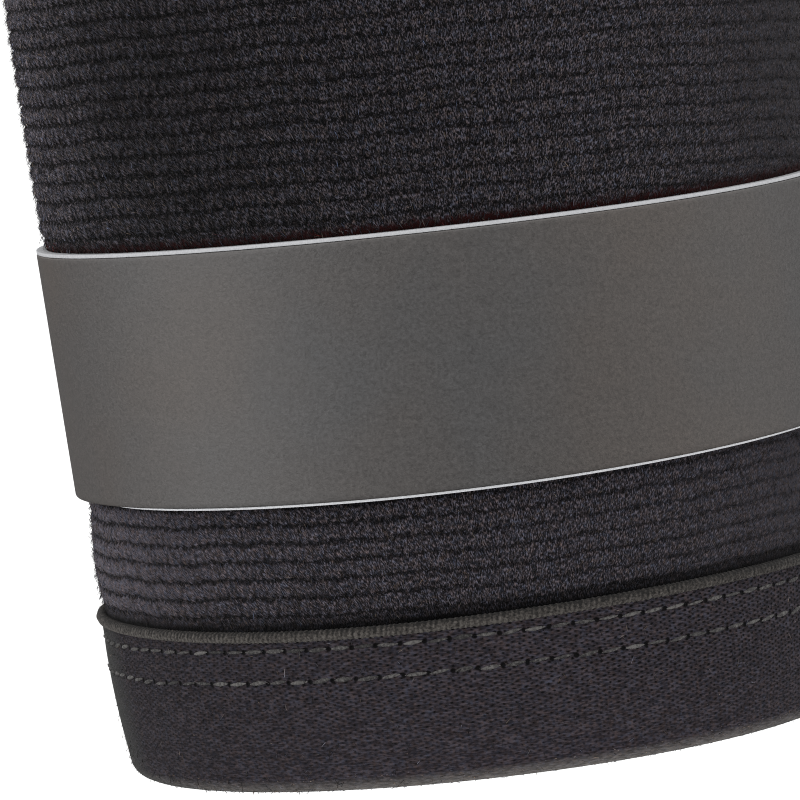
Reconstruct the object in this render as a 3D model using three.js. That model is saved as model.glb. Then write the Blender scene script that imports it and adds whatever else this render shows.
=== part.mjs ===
// A pull-on knee support, in the round form that it has when it is worn: a ribbed elastic tube, bound at both
// ends by a folded elastic tape with a corded edge, and a smooth coated band round its calf end.
// Millimetres. +Z runs up the leg, and the origin is on the leg's axis, halfway up the support.
import * as THREE from "three";

// Driving dimensions
const LENGTH = 290; // from the lower fold to the upper fold
const FLATS_AROUND = 24; // flats in each ring
const GAP = 0.3; // left between neighbouring pieces

// Ribbed elastic tube
const WALL = 2.2;
const RIB_PITCH = 2.85;
const RIB_DEPTH = 0.4;
const LINING_SECTIONS = 12; // rings that draw the plain inside of the tube

// Elastic tape folded over each end of the tube
const TAPE = 1.0; // thickness of one layer
const HEM_DEPTH = 24.8; // from the fold to the top of the corded edge
const INSIDE_DEPTH = 19; // how far the tape reaches up the inside
const CORD_DIAMETER = 1.45;
const CORD_SIDES = 8;
const FOLD_STEPS = 4;

// Coated band: a grey face on a pale backing that shows as a thin line along both edges
const BAND_LOWER = { height: 42.45, radius: 57.4 }; // outside of the face at its lower edge
const BAND_UPPER = { height: 79.05, radius: 58.95 }; // and at its upper edge
const BAND_FACE = 0.9; // thickness
const BAND_BACKING = 0.55;
const BAND_BOND = 0.15; // gap between the two layers
const UPPER_LINE = 0.6; // height of the pale line along the upper edge
const LOWER_LINE = 0.4; // and along the lower edge

// Tube between the hems: radius over the rib crests at each height above the lower fold
const TUBE_SECTIONS = [
  { place: "under the lower cord", height: 23.0, radius: 54.7 },
  { place: "calf, above the cord", height: 28.0, radius: 55.6 },
  { place: "under the band's lower edge", height: 42.4, radius: 54.8 },
  { place: "under the band's upper edge", height: 77.7, radius: 56.7 },
  { place: "above the band", height: 83.0, radius: 57.8 },
  { place: "below the kneecap", height: 121.7, radius: 59.2 },
  { place: "kneecap", height: 150.0, radius: 60.6 },
  { place: "above the kneecap", height: 190.0, radius: 61.8 },
  { place: "thigh, below the cord", height: 262.0, radius: 67.2 },
  { place: "under the upper cord", height: 267.0, radius: 66.3 },
];

// Hems: the tape's outside radius at the fold, over the stitching and at the corded edge
const HEMS = [
  { end: "lower", foldHeight: 0, inward: 1, foldRadius: 53.9, stitchRadius: 55.5, edgeRadius: 55.8 },
  { end: "upper", foldHeight: LENGTH, inward: -1, foldRadius: 66.4, stitchRadius: 67.8, edgeRadius: 67.7 },
];
const STITCH_DEPTH = 16; // from the fold to the lower of the two stitched rows
const TAPE_HEIGHT = HEM_DEPTH - CORD_DIAMETER - GAP; // outside layer, up to the cord
const FOLD_RADIUS = (WALL + 2 * GAP + 2 * TAPE) / 2; // round the tube's cut edge
const COVERED_DEPTHS = [FOLD_RADIUS + GAP, STITCH_DEPTH / 2, STITCH_DEPTH, TAPE_HEIGHT];

const knit = new THREE.MeshStandardMaterial({ color: 0x2c2a2d, roughness: 0.95, metalness: 0 });
const tape = new THREE.MeshStandardMaterial({ color: 0x332f33, roughness: 0.85, metalness: 0 });
const cord = new THREE.MeshStandardMaterial({ color: 0x46433f, roughness: 0.8, metalness: 0 });
const coating = new THREE.MeshStandardMaterial({ color: 0x5a5856, roughness: 0.5, metalness: 0.1 });
const pale = new THREE.MeshStandardMaterial({ color: 0xd6d7dc, roughness: 0.6, metalness: 0 });

const point = (radius, height) => new THREE.Vector2(radius, height);

// Value that runs smoothly through the rows of a table, read by height.
function through(rows, column, key = "height") {
  const spline = new THREE.CubicInterpolant(
    rows.map((row) => row[key]),
    rows.map((row) => row[column]),
    1,
  );
  return (at) => spline.evaluate(at)[0];
}

// Ring whose section is a closed outline of (radius, height) points, given with the outside going up.
function ring(name, outline, material) {
  const closed = [...outline, outline[0]];
  const geometry = new THREE.LatheGeometry(closed, FLATS_AROUND);
  geometry.rotateX(Math.PI / 2);
  const mesh = new THREE.Mesh(geometry, material);
  mesh.name = name;
  return mesh;
}

// Outline of a strip of even thickness on both sides of a line of points.
function stripOutline(line, thickness) {
  const side = (sign) =>
    line.map((here, i) => {
      const before = line[Math.max(i - 1, 0)];
      const after = line[Math.min(i + 1, line.length - 1)];
      const along = after.clone().sub(before).normalize();
      return point(here.x + (sign * along.y * thickness) / 2, here.y - (sign * along.x * thickness) / 2);
    });
  return [...side(1), ...side(-1).reverse()];
}

// Outside radius of a hem's tape at a depth from its fold.
function tapeRadius(hem) {
  const rows = [
    { depth: 0, radius: hem.foldRadius - 0.4 },
    { depth: FOLD_RADIUS, radius: hem.foldRadius },
    { depth: STITCH_DEPTH, radius: hem.stitchRadius },
    { depth: HEM_DEPTH, radius: hem.edgeRadius },
  ];
  return through(rows, "radius", "depth");
}

// Outline measured from a fold, set at that end of the support. The upper end is turned over.
function placedAt(hem, outline) {
  const placed = outline.map((p) => point(p.x, hem.foldHeight + hem.inward * p.y));
  return hem.inward > 0 ? placed : placed.reverse();
}

// Outside of the tube where the tape covers it, from its cut edge to the top of the tape.
function coveredTube(hem) {
  const outside = tapeRadius(hem);
  return placedAt(hem, COVERED_DEPTHS.map((depth) => point(outside(depth) - TAPE - GAP, depth)));
}

// The ribs lie flat under the middle of the band.
const pressedFlat = (height) =>
  height > BAND_LOWER.height + RIB_PITCH && height < BAND_UPPER.height - RIB_PITCH;

// Tube: plain where the tape covers it, ribs between the two hems, and a plain lining.
function ribbedTube() {
  const crestRadius = through(TUBE_SECTIONS, "radius");
  const [lower, upper] = HEMS.map(coveredTube);
  const ribbed = LENGTH - 2 * HEM_DEPTH;
  const ribCount = Math.round(ribbed / RIB_PITCH);
  const ribs = [];
  for (let half = 0; half <= 2 * ribCount; half += 1) {
    const height = HEM_DEPTH + (ribbed * half) / (2 * ribCount);
    const inset = half % 2 ? 0 : RIB_DEPTH;
    if (!pressedFlat(height)) {
      ribs.push(point(crestRadius(height) - inset, height));
    }
  }
  const lining = [];
  for (let section = 0; section <= LINING_SECTIONS; section += 1) {
    const height = HEM_DEPTH + (ribbed * section) / LINING_SECTIONS;
    lining.push(point(crestRadius(height), height));
  }
  const inside = [...lower, ...lining, ...upper].map((p) => point(p.x - WALL, p.y));
  return ring("ribbed_tube", [...lower, ...ribs, ...upper, ...inside.reverse()], knit);
}

// Folded tape: down the inside, round the tube's cut edge, and up the outside to the cord.
function foldedTape(hem) {
  const outside = tapeRadius(hem);
  const bend = FOLD_RADIUS - TAPE / 2;
  const foldCentre = hem.foldRadius - FOLD_RADIUS;
  const line = [];
  for (const depth of [INSIDE_DEPTH, STITCH_DEPTH, STITCH_DEPTH / 2]) {
    line.push(point(outside(depth) - TAPE / 2 - 2 * bend, depth));
  }
  for (let step = 0; step <= FOLD_STEPS; step += 1) {
    const angle = Math.PI * (1 + step / FOLD_STEPS);
    line.push(point(foldCentre + bend * Math.cos(angle), FOLD_RADIUS + bend * Math.sin(angle)));
  }
  for (const depth of [STITCH_DEPTH / 2, STITCH_DEPTH, TAPE_HEIGHT]) {
    line.push(point(outside(depth) - TAPE / 2, depth));
  }
  return ring(`${hem.end}_hem_tape`, placedAt(hem, stripOutline(line, TAPE)), tape);
}

// Corded edge along the open side of a tape.
function edgeCord(hem) {
  const radius = CORD_DIAMETER / 2;
  const outline = [];
  for (let side = 0; side < CORD_SIDES; side += 1) {
    const angle = (2 * Math.PI * side) / CORD_SIDES;
    outline.push(
      point(hem.edgeRadius - GAP + radius * Math.cos(angle), HEM_DEPTH - radius + radius * Math.sin(angle)),
    );
  }
  return ring(`${hem.end}_edge_cord`, placedAt(hem, outline), cord);
}

// Radius inside the band's face at a height, on the straight line between its two edges.
function bandRadius(height) {
  const share = (height - BAND_LOWER.height) / (BAND_UPPER.height - BAND_LOWER.height);
  return THREE.MathUtils.lerp(BAND_LOWER.radius, BAND_UPPER.radius, share);
}

function bandFace() {
  const line = [BAND_LOWER, BAND_UPPER].map((edge) => point(edge.radius - BAND_FACE / 2, edge.height));
  return ring("band_face", stripOutline(line, BAND_FACE), coating);
}

// Backing: it shows below the face, and laps over the face's upper edge.
function bandBacking() {
  const outer = (height) => bandRadius(height) - BAND_FACE - BAND_BOND;
  const inner = (height) => outer(height) - BAND_BACKING;
  const bottom = BAND_LOWER.height - LOWER_LINE;
  const lap = BAND_UPPER.height + BAND_BOND;
  const top = lap + UPPER_LINE;
  const outline = [
    point(outer(bottom), bottom),
    point(outer(lap), lap),
    point(bandRadius(lap) - BAND_BOND, lap),
    point(bandRadius(top) - BAND_BOND, top),
    point(inner(top), top),
    point(inner(bottom), bottom),
  ];
  return ring("band_backing", outline, pale);
}

const kneeSupport = new THREE.Group();
kneeSupport.add(ribbedTube(), bandBacking(), bandFace());
for (const hem of HEMS) {
  kneeSupport.add(foldedTape(hem), edgeCord(hem));
}
for (const piece of kneeSupport.children) {
  piece.position.z = -LENGTH / 2;
}

export default kneeSupport;
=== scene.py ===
# %% [markdown]
# # A knee support, seen close at its calf end
# The real object is a tube of ribbed elastic knit with a soft nap. Its ends are bound with a folded tape that
# has a corded edge and two rows of stitches, and a smooth grey band goes round the calf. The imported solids
# give every size. Here each of them is replaced by a finer piece in the same place.

# %% Load the frame
import math

import bmesh
import bpy
import numpy as np
from mathutils import Matrix, Vector


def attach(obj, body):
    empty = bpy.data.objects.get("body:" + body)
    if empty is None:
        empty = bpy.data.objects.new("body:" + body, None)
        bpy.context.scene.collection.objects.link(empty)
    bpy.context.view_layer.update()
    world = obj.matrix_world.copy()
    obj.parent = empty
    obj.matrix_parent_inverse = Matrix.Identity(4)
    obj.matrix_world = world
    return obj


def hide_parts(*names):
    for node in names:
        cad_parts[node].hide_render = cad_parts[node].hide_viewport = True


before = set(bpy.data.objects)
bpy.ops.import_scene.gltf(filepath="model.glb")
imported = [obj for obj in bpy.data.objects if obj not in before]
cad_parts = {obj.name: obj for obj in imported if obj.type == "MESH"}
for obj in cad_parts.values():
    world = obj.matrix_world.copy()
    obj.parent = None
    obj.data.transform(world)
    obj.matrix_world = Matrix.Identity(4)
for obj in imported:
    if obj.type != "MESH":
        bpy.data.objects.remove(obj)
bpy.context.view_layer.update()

print("solids:", sorted(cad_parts))

# %% [markdown]
# ## Sizes
# Heights are measured up from the lower fold, in millimetres, as a tape measure on the real support would
# give them. One function turns them into the frame, where the origin is halfway up, and one turns them back.
# The tube's radius comes from a short table and a smooth curve through it, because a leg has no corners.

# %% Sizes
MM = 0.001
LENGTH = 290.0
WALL = 2.2
TAPE = 1.0
FOLD_RADIUS = 2.4
HEM_DEPTH = 24.8
STITCH_DEPTH = 16.0
TUBE_ROWS = [  # height, radius over the rib crests
    (23.0, 54.7),
    (28.0, 55.5),
    (40.5, 55.3),
    (44.0, 54.9),
    (77.7, 56.6),
    (81.5, 57.7),
    (86.0, 58.0),
    (121.7, 59.4),
    (150.0, 60.5),
    (190.0, 61.7),
    (262.0, 67.1),
    (267.0, 66.2),
]
HEMS = {  # fold height, direction inward, radius at the fold, at the lower stitches and at the cord
    "lower": (0.0, 1, 53.9, 55.5, 55.8),
    "upper": (LENGTH, -1, 66.4, 67.8, 67.7),
}


def frame_z(height):
    """Height above the lower fold in millimetres, as a place along Z in the frame."""
    return (height - LENGTH / 2) * MM


def height_of(places):
    """Heights above the lower fold in millimetres, from rows of places in the frame."""
    return places[:, 2] / MM + LENGTH / 2


# %% Smooth curves
def smooth_curve(rows):
    """Curve through a table of (place, value) rows, with no corners."""
    places, values = np.array(rows, dtype=float).T
    slopes = np.gradient(values, places)

    def at(place):
        place = np.clip(place, places[0], places[-1])
        i = np.clip(np.searchsorted(places, place) - 1, 0, len(places) - 2)
        span = places[i + 1] - places[i]
        t = (place - places[i]) / span
        rise = values[i + 1] - values[i]
        ease = t * t * (3 - 2 * t)
        bend = t * (1 - t) * ((1 - t) * (slopes[i] * span) - t * (slopes[i + 1] * span))
        return values[i] + rise * ease + bend

    return at


def hem_curve(hem):
    """Outside radius of a hem's tape at a depth from its fold."""
    _, _, fold, stitches, edge = HEMS[hem]
    return smooth_curve([(0.0, fold - 0.4), (FOLD_RADIUS, fold), (STITCH_DEPTH, stitches), (HEM_DEPTH, edge)])


tube_radius = smooth_curve(TUBE_ROWS)
print("tube radius at the kneecap:", float(tube_radius(150.0)), "mm")

# %% Edges that wander
# How far an edge wanders up, in mm: its mean, then waves round the leg, phase at the front and height.
EDGE_WAVES = {
    "band top": (-0.25, [(1, -2.85, 0.10), (2, 2.43, 0.15)]),
    "band bottom": (-0.02, [(1, -0.57, 0.16), (2, -1.08, 0.20), (3, -1.68, 0.09)]),
    "lower": (-0.21, [(1, -1.99, 0.18), (2, -1.01, 0.20), (3, -0.28, 0.21)]),
    "upper": (0.0, [(1, 0.60, 0.15), (2, 2.10, 0.20)]),
    "calf ribs": (0.0, [(1, -2.07, 0.67)]),
    "knee ribs": (0.0, [(1, 2.31, 2.58), (2, 0.72, 0.62)]),
}


def edge_wave(edge, angle):
    mean, rows = EDGE_WAVES[edge]
    return mean + sum(height * np.sin(k * (angle - math.pi) + phase) for k, phase, height in rows)


print("edges that wander:", ", ".join(EDGE_WAVES))

# %% [markdown]
# ## Rings
# Almost every piece goes once round the leg, so it is an outline turned about Z. `bmesh.ops.spin` does that.
# A layer on the vertices remembers how far along the outline each one is, and the UV maps are laid from it:
# one in millimetres for patterns that follow the cloth, and one from 0 to 1 for maps of the finished colours.

# %% Mesh helpers
def add_piece(mesh):
    """Object for a mesh, under the same name and at the origin."""
    piece = bpy.data.objects.new(mesh.name, mesh)
    bpy.context.scene.collection.objects.link(piece)
    return piece


def positions(mesh):
    """Vertex places in metres, as rows."""
    places = np.empty(len(mesh.vertices) * 3, dtype=np.float32)
    mesh.vertices.foreach_get("co", places)
    return places.reshape(-1, 3).astype(float)


def move_to(mesh, places):
    """Puts the vertices at new places, given as rows in metres."""
    mesh.vertices.foreach_set("co", places.astype(np.float32).ravel())
    mesh.update()


def mark(mesh, **marks):
    """Values on the vertices, which a finish reads by name."""
    for name, values in marks.items():
        mesh.attributes.new(name, "FLOAT", "POINT").data.foreach_set("value", values.astype(np.float32))


def around_angle(places):
    """Angle round the leg, from 0 at the back, so that the seam of every map is behind."""
    return np.arctan2(-places[:, 0], places[:, 1]) % math.tau


# %% Maps of a ring
def lay_maps(mesh, whole_run):
    """UV maps of a ring: "cloth" in turns and millimetres, and "OFBake" from 0 to 1."""
    turn = around_angle(positions(mesh)) / math.tau
    run = np.empty(len(mesh.vertices), dtype=np.float32)
    mesh.attributes["run"].data.foreach_get("value", run)
    corner_vert = np.empty(len(mesh.loops), dtype=np.int32)
    mesh.loops.foreach_get("vertex_index", corner_vert)
    corners = np.array([(p.loop_start, p.loop_total) for p in mesh.polygons])
    face_of = np.repeat(np.arange(len(corners)), corners[:, 1])
    first = corners[face_of, 0]

    def unwrapped(values, period):
        start = values[corner_vert[first]]
        here = values[corner_vert]
        near = here + period * np.round((start - here) / period)
        lowest = np.full(len(corners), np.inf)
        np.minimum.at(lowest, face_of, near)
        return near - period * np.floor(lowest[face_of] / period + 1e-6)

    u = unwrapped(turn, 1.0)
    v = unwrapped(run.astype(float), whole_run)
    for layer, scale in (("cloth", 1.0), ("OFBake", 1.0 / whole_run)):
        uv = mesh.uv_layers.new(name=layer)
        flat = np.stack([np.clip(u, 0, 1), v * scale], axis=1).astype(np.float32)
        uv.uv.foreach_set("vector", flat.ravel())


# %% Spin a ring
def spin_ring(name, outline, columns, cuts=0):
    """Closed ring from an outline of (radius, height) points in millimetres, outside going up."""
    bm = bmesh.new()
    run_layer = bm.verts.layers.float.new("run")
    verts = []
    run = 0.0
    for i, (radius, height) in enumerate(outline):
        if i:
            run += math.dist(outline[i - 1], outline[i])
        vert = bm.verts.new((0.0, radius * MM, frame_z(height)))
        vert[run_layer] = run
        verts.append(vert)
    edges = [bm.edges.new((verts[i - 1], verts[i])) for i in range(len(verts))]
    bmesh.ops.spin(
        bm, geom=verts + edges, cent=(0, 0, 0), axis=(0, 0, 1), angle=math.tau, steps=columns, use_merge=True
    )
    if cuts:
        along = [e for e in bm.edges if abs(e.verts[0][run_layer] - e.verts[1][run_layer]) < 1e-6]
        bmesh.ops.subdivide_edges(bm, edges=along, cuts=cuts, use_grid_fill=True)
    bmesh.ops.recalc_face_normals(bm, faces=bm.faces)
    mesh = bpy.data.meshes.new(name)
    bm.to_mesh(mesh)
    bm.free()
    mesh.shade_smooth()
    lay_maps(mesh, run + math.dist(outline[-1], outline[0]))
    return add_piece(mesh)


# %% [markdown]
# ## Shared effects
# A finish is a small net of nodes, and the same few kinds of node come back in each, so short helpers add
# them. Three effects are node groups with named inputs and outputs: streaks of fibre that run up the leg, a
# satin weave that follows the tape's UV map, and the warm and cool flecks of unevenly dyed yarn, which every
# cloth here has. A group gives out only colours and values. The shader stays in the material, with its sheen
# and gloss set on its own sockets.

# %% Node helpers for values
def maths(tree, operation, *values, clamp=False):
    node = tree.nodes.new("ShaderNodeMath")
    node.operation = operation
    node.use_clamp = clamp
    for socket, value in zip(node.inputs, values):
        if isinstance(value, (int, float)):
            socket.default_value = value
        else:
            tree.links.new(value, socket)
    return node.outputs[0]


def noise(tree, vector, scale, detail=2.0, roughness=0.5):
    node = tree.nodes.new("ShaderNodeTexNoise")
    tree.links.new(vector, node.inputs["Vector"])
    if isinstance(scale, (int, float)):
        node.inputs["Scale"].default_value = scale
    else:
        tree.links.new(scale, node.inputs["Scale"])
    node.inputs["Detail"].default_value = detail
    node.inputs["Roughness"].default_value = roughness
    return node.outputs["Fac"]


def chance(tree, value, dimensions="1D"):
    """An even chance from 0 to 1 for each whole value, or for each cell of a plane."""
    node = tree.nodes.new("ShaderNodeTexWhiteNoise")
    node.noise_dimensions = dimensions
    tree.links.new(value, node.inputs["W" if dimensions == "1D" else "Vector"])
    return node.outputs["Value"]


def from_middle(tree, value):
    """From 0 in the middle of each whole step of a value to 1 at its ends."""
    share = maths(tree, "SUBTRACT", maths(tree, "FRACT", value), 0.5)
    return maths(tree, "MULTIPLY", maths(tree, "ABSOLUTE", share), 2.0)


def attribute(tree, name, output="Fac"):
    node = tree.nodes.new("ShaderNodeAttribute")
    node.attribute_name = name
    return node.outputs[output]


# %% Node helpers for places
def object_place(tree):
    return tree.nodes.new("ShaderNodeTexCoord").outputs["Object"]


def cloth_map(tree):
    """Place on the cloth: turns round the leg, and millimetres along the outline."""
    node = tree.nodes.new("ShaderNodeUVMap")
    node.uv_map = "cloth"
    return node.outputs["UV"]


def stretched(tree, vector, scale):
    node = tree.nodes.new("ShaderNodeMapping")
    node.inputs["Scale"].default_value = scale
    tree.links.new(vector, node.inputs["Vector"])
    return node.outputs["Vector"]


def axes(tree, vector):
    """X, Y and Z of a vector, by name."""
    node = tree.nodes.new("ShaderNodeSeparateXYZ")
    tree.links.new(vector, node.inputs[0])
    return node.outputs


def flat_place(tree, x, y):
    node = tree.nodes.new("ShaderNodeCombineXYZ")
    tree.links.new(x, node.inputs["X"])
    tree.links.new(y, node.inputs["Y"])
    return node.outputs[0]


# %% Node helpers for colours and finishes
def ramp(tree, value, stops):
    node = tree.nodes.new("ShaderNodeValToRGB")
    elements = node.color_ramp.elements
    while len(elements) < len(stops):
        elements.new(0.5)
    for element, (place, colour) in zip(elements, stops):
        element.position = place
        element.color = (*colour, 1.0)
    tree.links.new(value, node.inputs["Fac"])
    return node.outputs["Color"]


def mixed(tree, share, first, second):
    """Colour between two colours. Either may be a socket or a plain colour."""
    node = tree.nodes.new("ShaderNodeMix")
    node.data_type = "RGBA"
    for socket, value in ((node.inputs[0], share), (node.inputs[6], first), (node.inputs[7], second)):
        if isinstance(value, tuple):
            socket.default_value = (*value, 1.0)
        else:
            tree.links.new(value, socket)
    return node.outputs[2]


def scaled(tree, colour, factor):
    node = tree.nodes.new("ShaderNodeVectorMath")
    node.operation = "SCALE"
    tree.links.new(colour, node.inputs[0])
    tree.links.new(factor, node.inputs["Scale"])
    return node.outputs[0]


def principled(name, **constants):
    material = bpy.data.materials.new(name)
    material.use_nodes = True
    shader = material.node_tree.nodes["Principled BSDF"]
    for socket, value in constants.items():
        shader.inputs[socket.replace("_", " ")].default_value = value
    return material, material.node_tree, shader


def bumped(tree, shader, height, distance):
    node = tree.nodes.new("ShaderNodeBump")
    node.inputs["Distance"].default_value = distance
    node.inputs["Strength"].default_value = 1.0
    tree.links.new(height, node.inputs["Height"])
    tree.links.new(node.outputs["Normal"], shader.inputs["Normal"])


# %% Node groups
def group(name, inputs, outputs):
    tree = bpy.data.node_groups.new(name, "ShaderNodeTree")
    for socket, kind, default in inputs:
        made = tree.interface.new_socket(name=socket, in_out="INPUT", socket_type=kind)
        if default is not None:
            made.default_value = default
    for socket, kind in outputs:
        tree.interface.new_socket(name=socket, in_out="OUTPUT", socket_type=kind)
    return tree, tree.nodes.new("NodeGroupInput").outputs, tree.nodes.new("NodeGroupOutput").inputs


def placed(tree, shared, **links):
    """A group set into a material, with its own values and links."""
    node = tree.nodes.new("ShaderNodeGroup")
    node.node_tree = shared
    for socket, source in links.items():
        if isinstance(source, (int, float)):
            node.inputs[socket].default_value = source
        else:
            tree.links.new(source, node.inputs[socket])
    return node.outputs


# %% Fibre streaks
STREAKS = [  # output, marks per millimetre round and up the leg, detail, roughness
    ("Fine", (5.2, 1.9, 1.0), 1.0, 0.6),
    ("Tuft", (0.9, 0.75, 1.0), 2.0, 0.6),
    ("Stray", (1.3, 0.9, 1.0), 2.0, 0.65),
]


def make_streaks():
    tree, given, result = group(
        "fibre streaks",
        [
            ("Cloth", "NodeSocketVector", None),
            ("Round", "NodeSocketFloat", 370.0),
            ("Comb", "NodeSocketFloat", 0.0),
        ],
        [(output, "NodeSocketFloat") for output, *_ in STREAKS],
    )
    parts = axes(tree, given["Cloth"])
    across = maths(tree, "MULTIPLY_ADD", parts["X"], given["Round"], given["Comb"])
    place = flat_place(tree, across, parts["Y"])
    for output, spread, detail, roughness in STREAKS:
        streak = noise(tree, stretched(tree, place, spread), 1.0, detail, roughness)
        tree.links.new(streak, result[output])
    return tree


streaks = make_streaks()
print("effect:", streaks.name)


# %% Satin weave
def make_satin():
    """Dark gaps at the ends of the yarns' floats. Each row starts about half a float after the last."""
    tree, given, result = group(
        "satin weave",
        [
            ("Cloth", "NodeSocketVector", None),
            ("Place", "NodeSocketVector", None),
            ("Floats", "NodeSocketFloat", 212.0),
            ("Row", "NodeSocketFloat", 0.35),
        ],
        [("Gap", "NodeSocketFloat"), ("Shade", "NodeSocketFloat")],
    )
    parts = axes(tree, given["Cloth"])
    stray = maths(tree, "SUBTRACT", noise(tree, given["Place"], 420.0, 2.0, 0.6), 0.5)
    up = maths(tree, "DIVIDE", parts["Y"], given["Row"])
    up = maths(tree, "MULTIPLY_ADD", stray, 1.5, up)
    row = maths(tree, "FLOOR", up)
    across = maths(tree, "MULTIPLY", parts["X"], given["Floats"])
    across = maths(tree, "MULTIPLY_ADD", row, 0.51, across)
    across = maths(tree, "MULTIPLY_ADD", chance(tree, row), 0.18, across)
    across = maths(tree, "MULTIPLY_ADD", stray, 0.9, across)
    beside = maths(tree, "DIVIDE", maths(tree, "SUBTRACT", 1.0, from_middle(tree, across)), 0.26)
    above = maths(tree, "DIVIDE", from_middle(tree, up), 0.8)
    far = maths(tree, "ADD", maths(tree, "POWER", beside, 2.0), maths(tree, "POWER", above, 2.0))
    third = maths(tree, "LESS_THAN", maths(tree, "FLOORED_MODULO", row, 3.0), 0.5)
    depth = maths(tree, "MULTIPLY_ADD", third, 0.35, 0.65)
    gap = maths(tree, "MULTIPLY", maths(tree, "EXPONENT", maths(tree, "MULTIPLY", far, -1.0)), depth)
    cell = flat_place(tree, maths(tree, "FLOOR", across), row)
    tree.links.new(gap, result["Gap"])
    tree.links.new(chance(tree, cell, "2D"), result["Shade"])
    return tree


satin = make_satin()
print("effect:", satin.name)

# %% Dye flecks
FLECK_COOL, FLECK_WARM = (0.58, 1.01, 1.42), (1.42, 0.99, 0.58)


def make_flecks():
    """Small warm and cool flecks over a colour."""
    tree, given, result = group(
        "dye flecks",
        [
            ("Colour", "NodeSocketColor", None),
            ("Place", "NodeSocketVector", None),
            ("Scale", "NodeSocketFloat", 1500.0),
        ],
        [("Colour", "NodeSocketColor")],
    )
    fleck = noise(tree, given["Place"], given["Scale"], 2.0, 0.7)
    tinted = tree.nodes.new("ShaderNodeVectorMath")
    tinted.operation = "MULTIPLY"
    tree.links.new(given["Colour"], tinted.inputs[0])
    tree.links.new(mixed(tree, fleck, FLECK_COOL, FLECK_WARM), tinted.inputs[1])
    tree.links.new(tinted.outputs[0], result["Colour"])
    return tree


flecks = make_flecks()
print("effect:", flecks.name)


def flecked(tree, colour):
    return placed(tree, flecks, Colour=colour, Place=object_place(tree))["Colour"]


# %% [markdown]
# ## Ribbed knit tube
# The knit has a rib every 2.6 to 2.8 mm with a narrow valley between two ribs. The ribs of a real knit are
# never quite level: they tilt slowly round the leg and wander by a tenth or two of a millimetre. A displaced
# surface could show that, but the nap has to stand on the same ribs. So the tube is one turned outline, and
# each vertex of its outside moves by the function that later sets the roots of the nap.

# %% Knit surface
RIB_DEPTH = 0.18
RIBS_FROM, RIBS_TO = HEM_DEPTH, LENGTH - HEM_DEPTH
BAND_LOW, BAND_HIGH = 42.45, 79.05
RIB_COUNTS = [  # height, ribs counted from the lower cord
    (24.8, 0.449),
    (43.0, 7.414),
    (79.0, 18.746),
    (265.2, 84.606),
]
WAVES = [  # waves round the leg, waves up the leg (per mm), phase, height in mm
    (5, 0.021, 0.4, 0.16),
    (13, -0.047, 1.9, 0.13),
    (31, 0.110, 4.2, 0.10),
    (67, -0.310, 2.7, 0.10),
    (113, 0.730, 5.1, 0.08),
]
SWELLS = [  # the same columns, for how far the surface swells out
    (3, 0.030, 1.1, 0.10),
    (17, -0.080, 3.3, 0.05),
    (59, 0.470, 0.2, 0.05),
    (109, -0.950, 2.2, 0.04),
]


def ripple(rows, angle, height):
    return sum(depth * np.sin(k * angle + rise * height + phase) for k, rise, phase, depth in rows)


def rib_count(height):
    return np.interp(height, *np.array(RIB_COUNTS).T)


def valley_share(count, sharpness=5):
    return np.abs(2 * (count % 1.0) - 1) ** sharpness


def rib_shift(angle, height):
    """How far a rib wanders from its even height, in millimetres: a slow tilt and small ripples."""
    up = np.clip((height - BAND_LOW) / (BAND_HIGH - BAND_LOW), 0, 1)
    top = np.clip((RIBS_TO - height) / 80, 0, 1)
    tilt = edge_wave("calf ribs", angle) * (1 - up) + edge_wave("knee ribs", angle) * up * top
    return tilt + ripple(WAVES, angle, height)


def ordered(angle):
    """From 0 to 1: the nap is best combed, and its ribs are clearest, on one side of the leg."""
    return np.clip(np.sin(angle), 0, 1)


def comb_lean(angle):
    """How far the nap leans from upright, in radians: down and to the middle of the front on both sides."""
    return -0.1 - np.sin(angle)


def knit_surface(angle, height, level):
    """Radius in millimetres of the knit's outside, for an even height and the level where it really is."""
    valley = RIB_DEPTH * (1 + ordered(angle)) * valley_share(rib_count(height))
    return tube_radius(level) - valley + ripple(SWELLS, angle, level)


print("ribs:", math.floor(rib_count(RIBS_TO)))

# %% [markdown]
# ## Places on the cloth
# Soft round places change the cloth. In some, the colour of the nap is painted paler or darker, as painted
# light and shade, and some are matted, with an even tone and weak ribs. Painted maps could hold them, but a
# few rows of place, spread and change say the same and can be read. Both the knit's finish and the nap's
# fibres use them. Beside each cord the nap is painted darker, as painted shade.

# %% Places of painted light and shade, and matted places
# Painted light and shade: a place with a change above 0 is painted paler as light, one below 0 darker as
# shade.
PAINTED_LIGHT_PLACES = [  # degrees right of the front, height, spread in degrees and in mm, change of brightness
    (-40.0, 100.0, 24.0, 34.0, -0.46),
    (0.0, 100.0, 16.0, 40.0, -0.10),
    (-86.0, 100.0, 24.0, 60.0, 1.85),
    (28.0, 97.0, 22.0, 40.0, 0.16),
    (64.0, 97.0, 16.0, 40.0, -0.05),
    (0.0, 33.0, 200.0, 18.0, 0.26),
    (45.0, 33.0, 30.0, 18.0, 0.12),
    (-80.0, 33.0, 30.0, 18.0, 1.80),
    (-38.0, 33.0, 26.0, 18.0, 0.22),
]
MATTED = [  # the same columns, for how even the fibres' shades are
    (66.0, 97.0, 24.0, 40.0, 0.75),
    (66.0, 33.0, 42.0, 20.0, 0.85),
    (0.0, 33.0, 30.0, 20.0, 0.20),
    (-64.0, 33.0, 40.0, 20.0, 0.80),
]
# Painted shade: the nap is painted darker this close to a cord.
CORD_SHADE = 1.7  # millimetres of darker nap beside a cord
BACKING_LINE = 0.57  # height of the pale line along the band's upper edge


def patches(rows, angle, height):
    """Sum of soft round places on the cloth."""
    total = np.zeros_like(angle)
    for azimuth, level, wide, tall, change in rows:
        away = (np.degrees(angle) - 180.0 - azimuth) / wide
        total += change * np.exp(-(away**2) - ((height - level) / tall) ** 2)
    return total


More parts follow.
